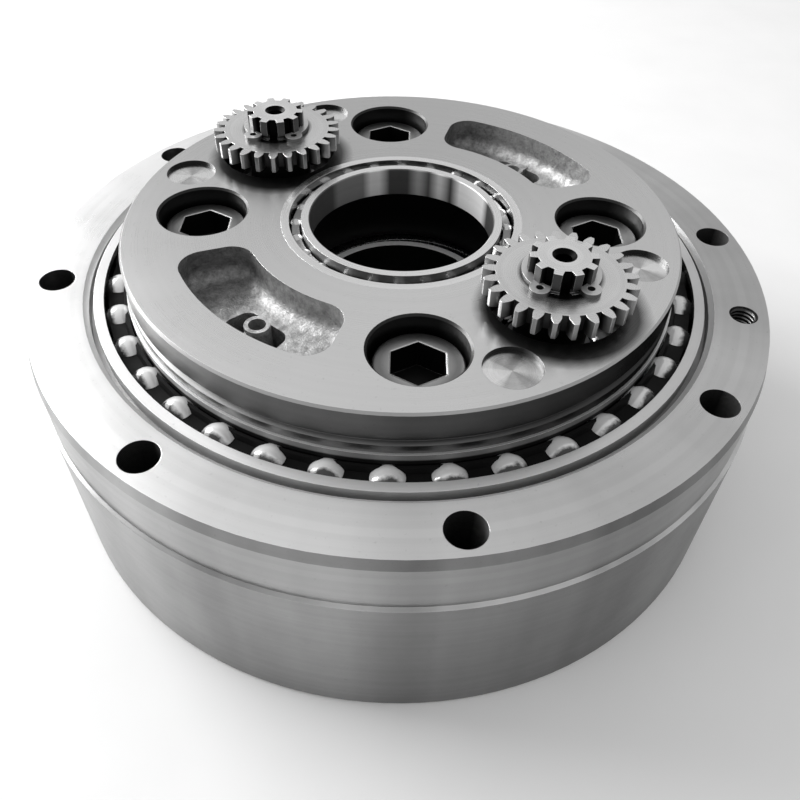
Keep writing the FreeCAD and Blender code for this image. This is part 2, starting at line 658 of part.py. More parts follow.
def taper_rollers(grow_r, grow_l):
    tilt = math.radians(TAPER_AXIS_DEG)
    along = V(-math.sin(tilt), 0, math.cos(tilt))
    reach = math.hypot(TAPER_MEAN_R, taper_apex())
    half = TAPER_ROLLER_L / 2.0 + grow_l
    big = TAPER_ROLLER_R * (reach + half) / reach + grow_r
    small = TAPER_ROLLER_R * (reach - half) / reach + grow_r
    base = V(TAPER_MEAN_R, 0, 0) - along * half
    rollers = []
    for k in range(TAPER_COUNT):
        roller = Part.makeCone(big, small, 2.0 * half, base, along)
        roller.rotate(ORIGIN, UP, 360.0 * k / TAPER_COUNT)
        rollers.append(roller)
    return rollers


def taper_cage():
    tilt = math.radians(TAPER_AXIS_DEG)
    half = (TAPER_ROLLER_L / 2.0 + TAPER_POCKET_CLEAR + TAPER_CAGE_RIM) * math.cos(tilt)
    wall = TAPER_CAGE_T / 2.0
    body = turned([(taper_line(-half, 0, -wall), -half), (taper_line(-half, 0, wall), -half),
                   (taper_line(half, 0, wall), half), (taper_line(half, 0, -wall), half)])
    return body.cut(taper_rollers(TAPER_POCKET_CLEAR, TAPER_POCKET_CLEAR))


def crank_cups(upper):
    return Part.makeCompound([taper_place(taper_cup(), upper, crank_at(name)) for name in CRANK_ANGLES])


def crank_cones(name):
    return Part.makeCompound([taper_place(taper_cone(), upper, crank_at(name)) for upper in (True, False)])


def snap_rings():
    z0 = TAPER_UPPER_Z0 + TAPER_W
    rings = []
    for name in CRANK_ANGLES:
        at = crank_at(name)
        reach = SNAP_OR * 2.0
        body = ring(SNAP_OR, SNAP_IR, z0, z0 + SNAP_T, at)
        gap = prism([V(0, 0, 0), polar(reach, -SNAP_OPEN_DEG), polar(reach, SNAP_OPEN_DEG)],
                    z0 - PAST, z0 + SNAP_T + PAST)
        gap.translate(at)
        rings.append(body.cut(gap))
    return Part.makeCompound(rings)


def end_caps():
    caps = []
    for name in CRANK_ANGLES:
        at = crank_at(name)
        cup = rod(TAPER_BORE_R, FLANGE_Z0 + EDGE, FLANGE_Z0 + EDGE + CAP_T, at)
        hollow = rod(TAPER_BORE_R - CAP_WALL, FLANGE_Z0, FLANGE_Z0 + CAP_CUP, at)
        caps.append(cup.cut(hollow))
    return Part.makeCompound(caps)


# Needle bearings between eccentrics and discs
def needles(name, level, grow):
    middle = DISC_HEIGHTS[level] + DISC_T / 2.0
    at = eccentric_at(name, level)
    half = NEEDLE_L / 2.0 + grow
    return [rod(NEEDLE_R + grow, middle - half, middle + half,
                at + polar(NEEDLE_PITCH_R, 360.0 * k / NEEDLE_COUNT)) for k in range(NEEDLE_COUNT)]


def needle_cage(name, level):
    z0 = DISC_HEIGHTS[level] + NEEDLE_CAGE_END
    z1 = DISC_HEIGHTS[level] + DISC_T - NEEDLE_CAGE_END
    half = NEEDLE_CAGE_T / 2.0
    body = ring(NEEDLE_PITCH_R + half, NEEDLE_PITCH_R - half, z0, z1, eccentric_at(name, level))
    return body.cut(needles(name, level, NEEDLE_POCKET_CLEAR))


# Lobed discs
def lobe_point(angle):
    count = PIN_COUNT
    ratio = PIN_RING_R / (ECCENTRIC * count)
    lean = math.atan2(math.sin((1 - count) * angle), ratio - math.cos((1 - count) * angle))
    roll_r = PIN_R + LOBE_CLEAR
    turn = math.degrees(angle)
    return (polar(PIN_RING_R, turn) - polar(roll_r, turn + math.degrees(lean))
            - polar(ECCENTRIC, count * turn))


def lobed_blank():
    step = 2.0 * math.pi / LOBE_COUNT
    edges = []
    for k in range(LOBE_COUNT):
        angles = [step * (k + part / float(FLANK_POINTS - 1)) for part in range(FLANK_POINTS)]
        edges.append(curve([lobe_point(angle) for angle in angles]))
    return Part.Face(Part.Wire(edges)).extrude(V(0, 0, DISC_T))


def cycloid_disc(level):
    side = DISC_SIDE[level]
    z0 = DISC_HEIGHTS[level]
    blank = lobed_blank()
    if side < 0:
        blank.rotate(ORIGIN, UP, 180)
    blank.translate(V(side * ECCENTRIC, 0, z0))
    cutters = [rod(DISC_BORE_R, z0 - PAST, z0 + DISC_T + PAST, V(side * ECCENTRIC, 0, 0))]
    for name in CRANK_ANGLES:
        cutters.append(rod(DISC_CRANK_HOLE_R, z0 - PAST, z0 + DISC_T + PAST, eccentric_at(name, level)))
    for angle in SCREW_ANGLES:
        at = polar(SCREW_PCR, angle) + V(side * ECCENTRIC, 0, 0)
        cutters.append(rod(PILLAR_HOLE_R, z0 - PAST, z0 + DISC_T + PAST, at))
    return blank.cut(cutters)


# Every node and its solid
def build():
    lip = CASE_H + LIP_RISE
    nodes = {
        "case": case(),
        "case_pins": case_pins(),
        "upper_outer_ring": outer_ring(PIN_SECTION_Z1, CASE_H, BALL_Z_UPPER, True),
        "lower_outer_ring": outer_ring(FLANGE_SEAT_Z0, PIN_SECTION_Z0, BALL_Z_LOWER, False),
        "oil_seal": oil_seal(),
        "seal_spring": seal_spring(),
        "carrier_plate": carrier_plate(),
        "output_flange": output_flange(),
        "carrier_screws": carrier_screws(),
        "blanking_plugs": blanking_plugs(),
        "centre_bearing_outer_ring": centre_outer_ring(),
        "centre_bearing_inner_ring": centre_inner_ring(),
        "centre_bearing_balls": centre_balls(),
        "centre_bearing_cage": centre_cage(),
        "centre_tube": centre_tube(),
        "upper_inner_ring": inner_ring(CARRIER_BASE, lip, BALL_Z_UPPER),
        "lower_inner_ring": inner_ring(FLANGE_SEAT_Z0, FLANGE_TOP, BALL_Z_LOWER),
        "upper_balls": main_balls(BALL_Z_UPPER),
        "lower_balls": main_balls(BALL_Z_LOWER),
        "upper_ball_cage": ball_cage(BALL_Z_UPPER, 1),
        "lower_ball_cage": ball_cage(BALL_Z_LOWER, -1),
        "crank_cups_upper": crank_cups(True),
        "crank_cups_lower": crank_cups(False),
        "crank_snap_rings": snap_rings(),
        "crank_end_caps": end_caps(),
    }
    for name in CRANK_ANGLES:
        nodes["crankshaft_" + name] = crankshaft(name)
        nodes["crank_gear_" + name] = crank_gear(name)
        nodes["gear_circlip_" + name] = gear_circlip(name)
        nodes["crank_cones_" + name] = crank_cones(name)
        for level, upper in (("upper", True), ("lower", False)):
            tail = name + "_" + level
            rollers = Part.makeCompound(taper_rollers(0.0, 0.0))
            nodes["taper_rollers_" + tail] = taper_place(rollers, upper, crank_at(name))
            nodes["taper_cage_" + tail] = taper_place(taper_cage(), upper, crank_at(name))
            nodes["needles_" + tail] = Part.makeCompound(needles(name, level, 0.0))
            nodes["needle_cage_" + tail] = needle_cage(name, level)
    for level in DISC_HEIGHTS:
        nodes["cycloid_disc_" + level] = cycloid_disc(level)
    return nodes


os.makedirs("parts", exist_ok=True)
for node, shape in build().items():
    shape.exportStep("parts/" + node + ".step")
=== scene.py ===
import math

import bpy
from mathutils import Matrix, Vector


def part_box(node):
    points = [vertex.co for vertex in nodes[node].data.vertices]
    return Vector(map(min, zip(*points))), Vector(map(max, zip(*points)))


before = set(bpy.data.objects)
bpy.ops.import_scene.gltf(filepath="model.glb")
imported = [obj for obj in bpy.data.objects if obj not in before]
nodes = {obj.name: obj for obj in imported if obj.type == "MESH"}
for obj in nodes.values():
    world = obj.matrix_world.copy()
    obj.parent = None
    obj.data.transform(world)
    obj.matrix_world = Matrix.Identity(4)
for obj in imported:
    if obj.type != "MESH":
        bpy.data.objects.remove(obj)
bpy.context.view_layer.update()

MM = 0.001
AXIS = (0, 0, 0)


def polar(radius, degrees):
    angle = math.radians(degrees)
    return Vector((radius * math.cos(angle), radius * math.sin(angle), 0))


def middle_of(node):
    low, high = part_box(node)
    return (low + high) / 2


# Places read from the frame, in metres
case_low, case_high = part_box("case")
CASE_R = (case_high.x - case_low.x) / 2
FLANGE_Z = case_high.z
plate_low, plate_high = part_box("carrier_plate")
PLATE_R = (plate_high.x - plate_low.x) / 2
PLATE_Z = plate_high.z
CRANKS = {name: middle_of("crank_gear_" + name) for name in "ab"}
CRANK_DEG = math.degrees(math.atan2(CRANKS["a"].y, CRANKS["a"].x))

# The case's holes and edges
BOLT_RING_R = 103.4 * MM
BOLT_HOLE_R = 5.2 * MM
BOLT_FIRST_DEG = 8.9
BOLT_COUNT = 8
TAPPED_R = 3.4 * MM
TAPPED_DEG = -13.6
TAPPED_BEVEL = 1.2 * MM
THREAD_PITCH = 1.25 * MM
HOLE_SLACK = 0.1 * MM
SKIN = 0.25 * MM
BEVEL_DEPTH = 2.0 * MM
RIM_DEPTH = 3.0 * MM
LEDGE_Z = FLANGE_Z - 18.8 * MM

# The carrier plate's holes and pockets
SCREW_RING_R = 59.5 * MM
SCREW_OFFSET_DEG = 42.5
SOCKET_R = 8.3 * MM
SOCKET_RIM = 1.4 * MM
SOCKET_TOP = PLATE_Z - 5.2 * MM
PLUG_RING_R = 71.0 * MM
PLUG_OFFSET_DEG = 24.4
POCKET_OFFSET_DEG = 90.0
POCKET_HALF_DEG = 27.6
POCKET_END_DEG = 20.6
POCKET_INNER_R = 46.2 * MM
POCKET_MID_R = 57.0 * MM
POCKET_OUTER_R = 67.8 * MM
POCKET_DARK_R = 8.0 * MM
POCKET_LIT_R = 15.0 * MM
MIDDLE_R = 34.0 * MM
# A painted shadow under each crank gear: shifted off its axis, dark within one radius and gone by the next
GEAR_SHADOW_SHIFT = Vector((1.2, -3.8, 0)) * MM
GEAR_SHADOW_R = 20.0 * MM
GEAR_SHADOW_EDGE_R = 24.0 * MM

# Bearings, gears and splines
GROOVE_R = 92.0 * MM
LIP_HEIGHT = 0.5 * MM
BALL_RING_R = 85.8 * MM
BALL_LIT_R = BALL_RING_R + 0.8 * MM
BALL_DARK_R = BALL_RING_R + 2.0 * MM
INNER_BORE_R = 27.5 * MM
GEAR_ROOT_R = 16.9 * MM
GEAR_TIP_R = 20.2 * MM
CLIP_R = 10.3 * MM
CLIP_SHADOW = 1.2 * MM
SPLINE_ROOT_R = 7.3 * MM
SPLINE_TIP_R = 8.8 * MM

# Where light and shadow lie, as bearings about the axis from X, which points right in the photograph
# These bearings set where painted light, painted shade and painted highlights fall on the finishes
LEFT_DEG = 180.0
LIGHT_DEG = 130.0
FLANGE_LIGHT_DEG = 140.0
FLANGE_DARK_DEG = 15.0
LEDGE_LIGHT_DEG = -35.0
PLATE_LIGHT_DEG = -80.0
PLATE_EDGE_DARK_DEG = 160.0
RING_LIGHT_DEG = 200.0
CRESCENT_DEG = 38.0
PLUG_FAN_DEG = 14.0

# Painted reflections round the centre bore: each has a bearing, a half width and a strength
BORE_REFLECTIONS = [(36, 12, 0.95), (64, 1, 0.8), (79, 1, 0.45), (109, 3, 0.85), (122, 16, 0.25)]

# Shares of a face's direction that point up: a flat face, a bevel and a wall
FLAT = 0.9
SLOPED = 0.2
UPRIGHT = 0.1

# The middle range of a noise, and the lightest tone that a finish may have
NOISE_LOW = 0.3
NOISE_HIGH = 0.7
LIGHTEST = 0.93

# An edge shows where its rounded normal leans from the flat one: the cosines at which it starts and is full
EDGE_START = 0.995
EDGE_FULL = 0.80


def beside_cranks(radius, offset):
    # four places on a ring, one on each side of each crank
    return [polar(radius, CRANK_DEG + turn + side * offset) for turn in (0, 180) for side in (-1, 1)]


SCREWS = beside_cranks(SCREW_RING_R, SCREW_OFFSET_DEG)
PLUGS = beside_cranks(PLUG_RING_R, PLUG_OFFSET_DEG)
BOLTS = [polar(BOLT_RING_R, BOLT_FIRST_DEG + k * 360 / BOLT_COUNT) for k in range(BOLT_COUNT)]
TAPPED = polar(BOLT_RING_R, TAPPED_DEG)
POCKETS = [CRANK_DEG + POCKET_OFFSET_DEG, CRANK_DEG - POCKET_OFFSET_DEG]


# Node graph helpers
class Graph:
    def __init__(self, name):
        self.material = bpy.data.materials.new(name)
        self.material.use_nodes = True
        self.tree = self.material.node_tree
        self.tree.nodes.clear()
        self.shader = self.add("ShaderNodeBsdfPrincipled")
        output = self.add("ShaderNodeOutputMaterial")
        self.link(self.shader.outputs["BSDF"], output.inputs["Surface"])
        self.place = self.add("ShaderNodeTexCoord").outputs["Object"]

    def add(self, kind, **settings):
        node = self.tree.nodes.new(kind)
        for key, value in settings.items():
            setattr(node, key, value)
        return node

    def link(self, source, target):
        self.tree.links.new(source, target)

    def feed(self, socket, value):
        if isinstance(value, bpy.types.NodeSocket):
            self.link(value, socket)
        else:
            socket.default_value = value

    def surface(self, name, value):
        self.feed(self.shader.inputs[name], value)

    def math(self, operation, *values):
        node = self.add("ShaderNodeMath", operation=operation)
        for socket, value in zip(node.inputs, values):
            self.feed(socket, value)
        return node.outputs[0]

    def times(self, first, second):
        return self.math("MULTIPLY", first, second)

    def vector(self, operation, *values):
        node = self.add("ShaderNodeVectorMath", operation=operation)
        for socket, value in zip(node.inputs, values):
            self.feed(socket, value)
        return node.outputs["Value" if operation in ("LENGTH", "DOT_PRODUCT") else "Vector"]

    def parts(self, vector):
        # the X, Y and Z of a place or direction
        node = self.add("ShaderNodeSeparateXYZ")
        self.link(vector, node.inputs[0])
        return node.outputs

    def facing(self):
        # the way a face points, in the world
        return self.add("ShaderNodeNewGeometry").outputs["Normal"]

    def noise(self, scale, detail=3.0, rough=0.55, at=None, stretch=(1, 1, 1)):
        node = self.add("ShaderNodeTexNoise")
        node.inputs["Scale"].default_value = scale
        node.inputs["Detail"].default_value = detail
        node.inputs["Roughness"].default_value = rough
        self.link(self.vector("MULTIPLY", at or self.place, stretch), node.inputs["Vector"])
        return node.outputs["Fac"]

    def line_noise(self, value, scale, detail=2.0):
        node = self.add("ShaderNodeTexNoise", noise_dimensions="1D")
        node.inputs["Scale"].default_value = scale
        node.inputs["Detail"].default_value = detail
        self.link(value, node.inputs["W"])
        return node.outputs["Fac"]

    def ramp(self, value, low, high, out_low, out_high):
        node = self.add("ShaderNodeMapRange")
        for name, amount in (("Value", value), ("From Min", low), ("From Max", high),
                             ("To Min", out_low), ("To Max", out_high)):
            self.feed(node.inputs[name], amount)
        return node.outputs["Result"]

    def spread(self, noise, out_low, out_high):
        # a noise as an amount between two values
        return self.ramp(noise, NOISE_LOW, NOISE_HIGH, out_low, out_high)

    def grey(self, value):
        node = self.add("ShaderNodeCombineColor")
        for socket in node.inputs:
            self.link(value, socket)
        return node.outputs["Color"]

    def bump(self, height, strength, distance, below=None):
        node = self.add("ShaderNodeBump")
        node.inputs["Strength"].default_value = strength
        node.inputs["Distance"].default_value = distance
        self.link(height, node.inputs["Height"])
        if below is not None:
            self.link(below, node.inputs["Normal"])
        return node.outputs["Normal"]

    def outward(self, centre=AXIS):
        # the level way from a vertical axis to a place
        return self.vector("MULTIPLY", self.vector("SUBTRACT", self.place, tuple(centre)), (1, 1, 0))

    def radius(self, centre=AXIS):
        return self.vector("LENGTH", self.outward(centre))

    def circling(self, centre):
        # the direction that circles a vertical axis
        sideways = self.vector("CROSS_PRODUCT", (0, 0, 1), self.outward(centre))
        turn = self.add("ShaderNodeVectorTransform", vector_type="VECTOR", convert_from="OBJECT",
                        convert_to="WORLD")
        self.link(self.vector("NORMALIZE", sideways), turn.inputs["Vector"])
        return turn.outputs["Vector"]

    def edges(self, radius):
        # near 1 on edges and 0 on flats, and the normal that rounds them
        bevel = self.add("ShaderNodeBevel", samples=6)
        bevel.inputs["Radius"].default_value = radius
        cosine = self.vector("DOT_PRODUCT", bevel.outputs["Normal"], self.facing())
        return self.ramp(cosine, EDGE_START, EDGE_FULL, 0.0, 1.0), bevel.outputs["Normal"]

    def coat(self, tone, shades=()):
        # the tone with its painted light and shade as the surface's colour
        for share in shades:
            tone = self.times(tone, share(self))
        self.surface("Base Color", self.grey(self.math("MINIMUM", tone, LIGHTEST)))


# Shades of painted light and shade: each gives the share of a finish's tone that is left at a place
def by_bearing(degrees, low, high, start=-1.0, end=1.0):
    # from low on the side away from a bearing to high on the side that faces it
    aim = tuple(polar(1.0, degrees))

    def share(graph):
        towards = graph.vector("DOT_PRODUCT", graph.vector("NORMALIZE", graph.outward()), aim)
        return graph.ramp(towards, start, end, low, high)

    return share


def by_facing(start, end, low, high):
    # from low to high as the part of a face's direction that lies along X goes from start to end
    def share(graph):
        return graph.ramp(graph.parts(graph.facing())["X"], start, end, low, high)

    return share


def by_height(bottom, top, low, high):
    # from low at one height to high at another
    def share(graph):
        return graph.ramp(graph.parts(graph.place)["Z"], bottom, top, low, high)

    return share


def by_radius(centre, inner, outer, low, high, wobble=0.0, grain=38.0):
    # from low inside a circle to high outside it, with an uneven edge where it has a wobble
    def share(graph):
        uneven = graph.spread(graph.noise(grain, 4.0, 0.6), -wobble, wobble)
        return graph.ramp(graph.math("ADD", graph.radius(centre), uneven), inner, outer, low, high)

    return share


def by_fan(centre, degrees, low, high, start=0.6):
    # painted highlight: two opposite light wedges on a turned face, along a bearing from its centre
    aim = tuple(polar(1.0, degrees))

    def share(graph):
        towards = graph.vector("DOT_PRODUCT", graph.vector("NORMALIZE", graph.outward(centre)), aim)
        return graph.ramp(graph.math("ABSOLUTE", towards), start, 1.0, low, high)

    return share


def by_patches(base, fade, patches):
    # painted reflections: light patches that stand round a bore, the same at the front and at the back
    def share(graph):
        place = graph.parts(graph.place)
        turn = graph.math("DEGREES", graph.math("ARCTAN2", place["Y"], place["X"]))
        bearing = graph.math("ABSOLUTE", turn)
        value = base
        for middle, half, strength in patches:
            away = graph.math("ABSOLUTE", graph.math("SUBTRACT", bearing, middle))
            value = graph.math("MAXIMUM", value, graph.ramp(away, half, half + fade, strength, 0.0))
        return value

    return share


# Finishes: tones and roughness run from 0 to 1, and a noise's scale is in lumps per metre
def turned_steel(name, tone, rough, centre=AXIS, groove=0.25, aniso=0.6, stain=0.10, edge=0.25 * MM,
                 metal=1.0, fans=0.0, fan_scale=3.2, ripple=0.03, edge_wear_and_painted_light=0.16, shades=(), rim=None):
    # steel cut on a lathe: fine rings about the axis, soft stains, edges whose tone is part wear and part
    # painted light, and painted fans of reflected light
    graph = Graph(name)
    circling = graph.circling(centre)
    travel = graph.math("ADD", graph.radius(centre), graph.parts(graph.place)["Z"])
    rings = graph.line_noise(travel, 9000.0, 3.0)
    bands = graph.line_noise(travel, 420.0, 2.0)
    cloud = graph.noise(38.0, 4.0, 0.6)
    speck = graph.noise(900.0, 2.0, 0.5)
    edges, rounded = graph.edges(edge)
    value = graph.spread(cloud, tone * (1 - stain), tone * (1 + stain * 0.6))
    value = graph.times(value, graph.ramp(bands, 0.35, 0.65, 1.0 - ripple, 1.0 + ripple))
    value = graph.times(value, graph.ramp(speck, 0.66, 0.78, 1.0, 0.88))
    if fans:
        sweep = graph.noise(fan_scale, 3.0, 0.55, at=circling)
        value = graph.times(value, graph.ramp(sweep, 0.36, 0.64, 1.0 - fans, 1.0 + fans))
    graph.coat(graph.math("ADD", value, graph.times(edges, edge_wear_and_painted_light)), shades)
    stained = graph.spread(cloud, rough * 1.12, rough * 0.9)
    graph.surface("Roughness", graph.math("ADD", stained, graph.spread(rings, -0.03, 0.03)))
    graph.surface("Metallic", metal)
    graph.surface("Anisotropic", aniso)
    graph.surface("Tangent", circling)
    # painted reflection: the rim shade sets the specular tint by place
    if rim:
        graph.surface("Specular Tint", graph.grey(rim(graph)))
    graph.surface("Normal", graph.bump(rings, groove, 0.012 * MM, rounded))
    return graph.material


def ground_steel(name, tone, rough, stain=0.08, edge=0.15 * MM, edge_wear_and_painted_light=0.14, metal=1.0, shades=()):
    # ground or polished steel with fine scratches, light handling marks and edges whose tone is part wear
    # and part painted light
    graph = Graph(name)
    scratch = graph.noise(2600.0, 3.0, 0.6, stretch=(1, 1, 0.08))
    cloud = graph.noise(60.0, 4.0, 0.6)
    edges, rounded = graph.edges(edge)
    value = graph.spread(cloud, tone * (1 - stain), tone * (1 + stain))
    graph.coat(graph.math("ADD", value, graph.times(edges, edge_wear_and_painted_light)), shades)
    marked = graph.spread(cloud, rough * 1.2, rough * 0.85)
    graph.surface("Roughness", graph.math("ADD", marked, graph.ramp(scratch, 0.35, 0.7, -0.02, 0.05)))
    graph.surface("Metallic", metal)
    graph.surface("Normal", graph.bump(scratch, 0.12, 0.01 * MM, rounded))
    return graph.material


def cast_steel(name, tone, shades=()):
    # sand-cast skin: lumpy, dull, darker in its hollows, with painted shade on its walls
    graph = Graph(name)
    lumps = graph.noise(420.0, 6.0, 0.62)
    grit = graph.noise(1700.0, 3.0, 0.6)
    height = graph.math("ADD", lumps, graph.times(grit, 0.35))
    value = graph.ramp(height, 0.45, 0.95, tone * 0.45, tone * 1.35)
    value = graph.times(value, graph.ramp(graph.parts(graph.facing())["Z"], 0.1, 0.95, 0.72, 1.05))
    graph.coat(value, shades)
    graph.surface("Roughness", graph.spread(lumps, 0.62, 0.42))
    graph.surface("Metallic", 0.75)
    graph.surface("Normal", graph.bump(height, 0.75, 0.5 * MM))
    return graph.material


def bore_wall(name, tone, pitch, depth):
    # the wall of a drilled or tapped hole: dark as an oily film and as painted shade, ringed down its
    # depth, with painted light where it faces left
    graph = Graph(name)
    marks = graph.math("SINE", graph.times(graph.parts(graph.place)["Z"], 2 * math.pi / pitch))
    film = graph.noise(300.0, 3.0, 0.6)
    left_lit = by_facing(start=-0.4, end=-1.0, low=0.8, high=7.0)
    graph.coat(graph.spread(film, tone * 0.7, tone * 1.2), [left_lit])
    graph.surface("Roughness", graph.spread(film, 0.5, 0.32))
    graph.surface("Metallic", 0.9)
    graph.surface("Normal", graph.bump(marks, 0.8, depth))
    return graph.material


def moulded(name, tone, rough, shine=0.5):
    # satin plastic or rubber with a fine grain and a film of oil
    graph = Graph(name)
    grain = graph.noise(1400.0, 3.0, 0.6)
    film = graph.noise(90.0, 3.0, 0.5)
    graph.coat(graph.spread(film, tone * 0.7, tone * 1.4))
    graph.surface("Roughness", graph.spread(film, rough * 1.2, rough * 0.75))
    graph.surface("Normal", graph.bump(grain, 0.2, 0.05 * MM))
    graph.surface("Specular IOR Level", shine)
    return graph.material


def paper(name):
    graph = Graph(name)
    fibre = graph.noise(25.0, 3.0, 0.5)
    graph.surface("Base Color", graph.grey(graph.spread(fibre, 0.94, 0.97)))
    graph.surface("Roughness", 0.9)
    return graph.material


# Giving faces their materials
def dress(node, *materials, choose=None):
    # choose picks one of the materials by a face's middle and normal; a single material needs none
    mesh = nodes[node].data
    mesh.materials.clear()
    for material in materials:
        mesh.materials.append(material)
    for face in mesh.polygons:
        face.material_index = materials.index(choose(face.center, face.normal)) if choose else 0


def dress_turned(node, flats, sides):
    # one finish on the level faces and one on the rest
    dress(node, flats, sides, choose=lambda point, normal: flats if abs(normal.z) > FLAT else sides)


def from_axis(point):
    return math.hypot(point.x, point.y)


def within(point, centre, radius):
    return math.hypot(point.x - centre.x, point.y - centre.y) < radius


def nearest(axes, point):
    return min(range(len(axes)), key=lambda k: math.hypot(point.x - axes[k].x, point.y - axes[k].y))


# Case
# The case's finishes carry painted light and shade: lighter towards the lamp at the back left, darker to
# the right and towards the bottom, with painted highlights on the bevel and ledge
flange_turned = turned_steel("flange_turned", 0.66, 0.32, aniso=0.5, stain=0.04, fans=0.07, shades=[
    by_bearing(LIGHT_DEG, 0.92, 1.25),
    by_bearing(FLANGE_LIGHT_DEG, 1.0, 1.15, start=0.2, end=0.8),
    by_bearing(FLANGE_DARK_DEG, 1.0, 0.77, start=0.72, end=0.95)])
band_turned = turned_steel("band_turned", 0.42, 0.34, groove=0.3, stain=0.05, fans=0.16, shades=[
    by_bearing(LIGHT_DEG, 0.75, 1.3)])
body_turned = turned_steel("body_turned", 0.36, 0.36, groove=0.3, stain=0.07, fans=0.20, shades=[
    by_bearing(LIGHT_DEG, 0.62, 1.35),
    by_height(0.0, LEDGE_Z, 0.80, 1.05)])
bevel_turned = turned_steel("bevel_turned", 0.20, 0.38, groove=0.35, aniso=0.5, stain=0.12, edge=0.1 * MM,
                            fans=0.3, shades=[by_bearing(LEFT_DEG, 1.0, 2.1, start=0.1, end=0.9)])
ledge_turned = turned_steel("ledge_turned", 0.34, 0.34, groove=0.3, aniso=0.4, fans=0.3, shades=[
    by_bearing(LEDGE_LIGHT_DEG, 1.0, 1.8, start=0.3, end=1.0)])
# the mouth has painted dark lines along its edges and a painted highlight crescent at the back right
mouth_turned = turned_steel("mouth_turned", 0.90, 0.40, groove=0.3, aniso=0.4, edge=0.3 * MM, metal=0.6,
                            edge_wear_and_painted_light=-0.6, shades=[by_bearing(LIGHT_DEG, 1.1, 0.55),
                                               by_bearing(CRESCENT_DEG, 1.0, 1.4, start=0.8, end=0.95)])
bore_turned = turned_steel("bore_turned", 0.40, 0.45, groove=0.4, aniso=0.3, edge=0.1 * MM)
drilled = bore_wall("drilled", 0.10, pitch=0.6 * MM, depth=0.02 * MM)
tapped = bore_wall("tapped", 0.07, pitch=THREAD_PITCH, depth=0.35 * MM)


def case_choice(point, normal):
    if abs(normal.z) > FLAT and not SKIN < point.z < FLANGE_Z - SKIN:
        return flange_turned
    if within(point, TAPPED, TAPPED_R + TAPPED_BEVEL):
        return tapped
    if any(within(point, bolt, BOLT_HOLE_R + HOLE_SLACK) for bolt in BOLTS):
        return drilled
    if from_axis(point) < CASE_R - RIM_DEPTH:
        return mouth_turned if normal.z > SLOPED and point.z > FLANGE_Z - BEVEL_DEPTH else bore_turned
    if normal.z < UPRIGHT:
        return band_turned if point.z > LEDGE_Z else body_turned
    return bevel_turned if point.z > LEDGE_Z + MM else ledge_turned


dress("case", flange_turned, tapped, drilled, bore_turned, band_turned, body_turned, bevel_turned,
      ledge_turned, mouth_turned, choose=case_choice)


# Carrier
def dark_end(middle):
    # a painted shadow in the end of a pocket that lies further left
    ends = [polar(POCKET_MID_R, middle + side * POCKET_END_DEG) for side in (-1, 1)]
    left = min(ends, key=lambda end: end.x)
    return by_radius(left, POCKET_DARK_R, POCKET_LIT_R, 0.45, 1.0, wobble=2.0 * MM, grain=120.0)


# painted shadow on the plate face under each crank gear
gear_shadows = [by_radius(gear + GEAR_SHADOW_SHIFT, GEAR_SHADOW_R, GEAR_SHADOW_EDGE_R, 0.12, 1.0, wobble=0.6 * MM)
             for gear in CRANKS.values()]
# painted light: the plate face is lighter towards the front
plate_face = turned_steel("plate_face", 0.75, 0.30, groove=0.05, aniso=0.1, stain=0.02, edge=0.1 * MM,
                          ripple=0.01, shades=gear_shadows + [by_bearing(PLATE_LIGHT_DEG, 0.77, 1.0)])
# painted light and shade by bearing on the plate's wall, lighter on the left, with a painted reflection in
# its specular tint
plate_wall = turned_steel("plate_wall", 0.15, 0.40, groove=0.3, aniso=0.4, edge=0.15 * MM, fans=0.1,
                          edge_wear_and_painted_light=0.08, rim=by_bearing(LEFT_DEG, 0.1, 1.0, start=-0.9, end=0.3),
                          shades=[by_bearing(LEFT_DEG, 0.2, 1.0, start=-1.0, end=0.1),
                                  by_bearing(LEFT_DEG, 1.0, 1.9, start=0.0, end=0.9)])
# painted shade by bearing: the plate's edge is darker at the back left
plate_edge = turned_steel("plate_edge", 0.42, 0.40, groove=0.3, aniso=0.4, edge=0.05 * MM, edge_wear_and_painted_light=0.0,
                          shades=[by_bearing(PLATE_EDGE_DARK_DEG, 1.0, 0.4, start=0.2, end=0.9)])
pocket_cast = cast_steel("pocket_cast", 0.60, [dark_end(middle) for middle in POCKETS])
# painted shade: near black inside the counterbores, with painted light on walls that face left
counterbore = turned_steel("counterbore", 0.045, 0.38, groove=0.4, aniso=0.3, edge=0.05 * MM, edge_wear_and_painted_light=0.0,
                           shades=[by_facing(start=-0.4, end=-1.0, low=0.8, high=5.0)])
# painted shade: near black deep in the middle bore
bore_painted_shade = turned_steel("bore_painted_shade", 0.02, 0.45, groove=0.3, aniso=0.3, edge=0.1 * MM)


def in_pocket(point):
    angle = math.degrees(math.atan2(point.y, point.x))
    away = min(abs((angle - middle + 180) % 360 - 180) for middle in POCKETS)
    return POCKET_INNER_R < from_axis(point) < POCKET_OUTER_R and away < POCKET_HALF_DEG


def plate_choice(point, normal):
    if normal.z > FLAT and point.z > PLATE_Z - SKIN:
        return plate_face
    if in_pocket(point):
        return pocket_cast
    if from_axis(point) > PLATE_R - BEVEL_DEPTH:
        return plate_edge if normal.z > SLOPED and point.z > PLATE_Z - BEVEL_DEPTH else plate_wall
    return bore_painted_shade if from_axis(point) < MIDDLE_R else counterbore


def output_choice(point, normal):
    if normal.z < -FLAT:
        return plate_face
    return plate_wall if from_axis(point) > PLATE_R - MM else bore_turned


dress("carrier_plate", plate_face, plate_wall, pocket_cast, counterbore, bore_painted_shade, plate_edge,
      choose=plate_choice)
dress("output_flange", plate_face, plate_wall, bore_turned, choose=output_choice)

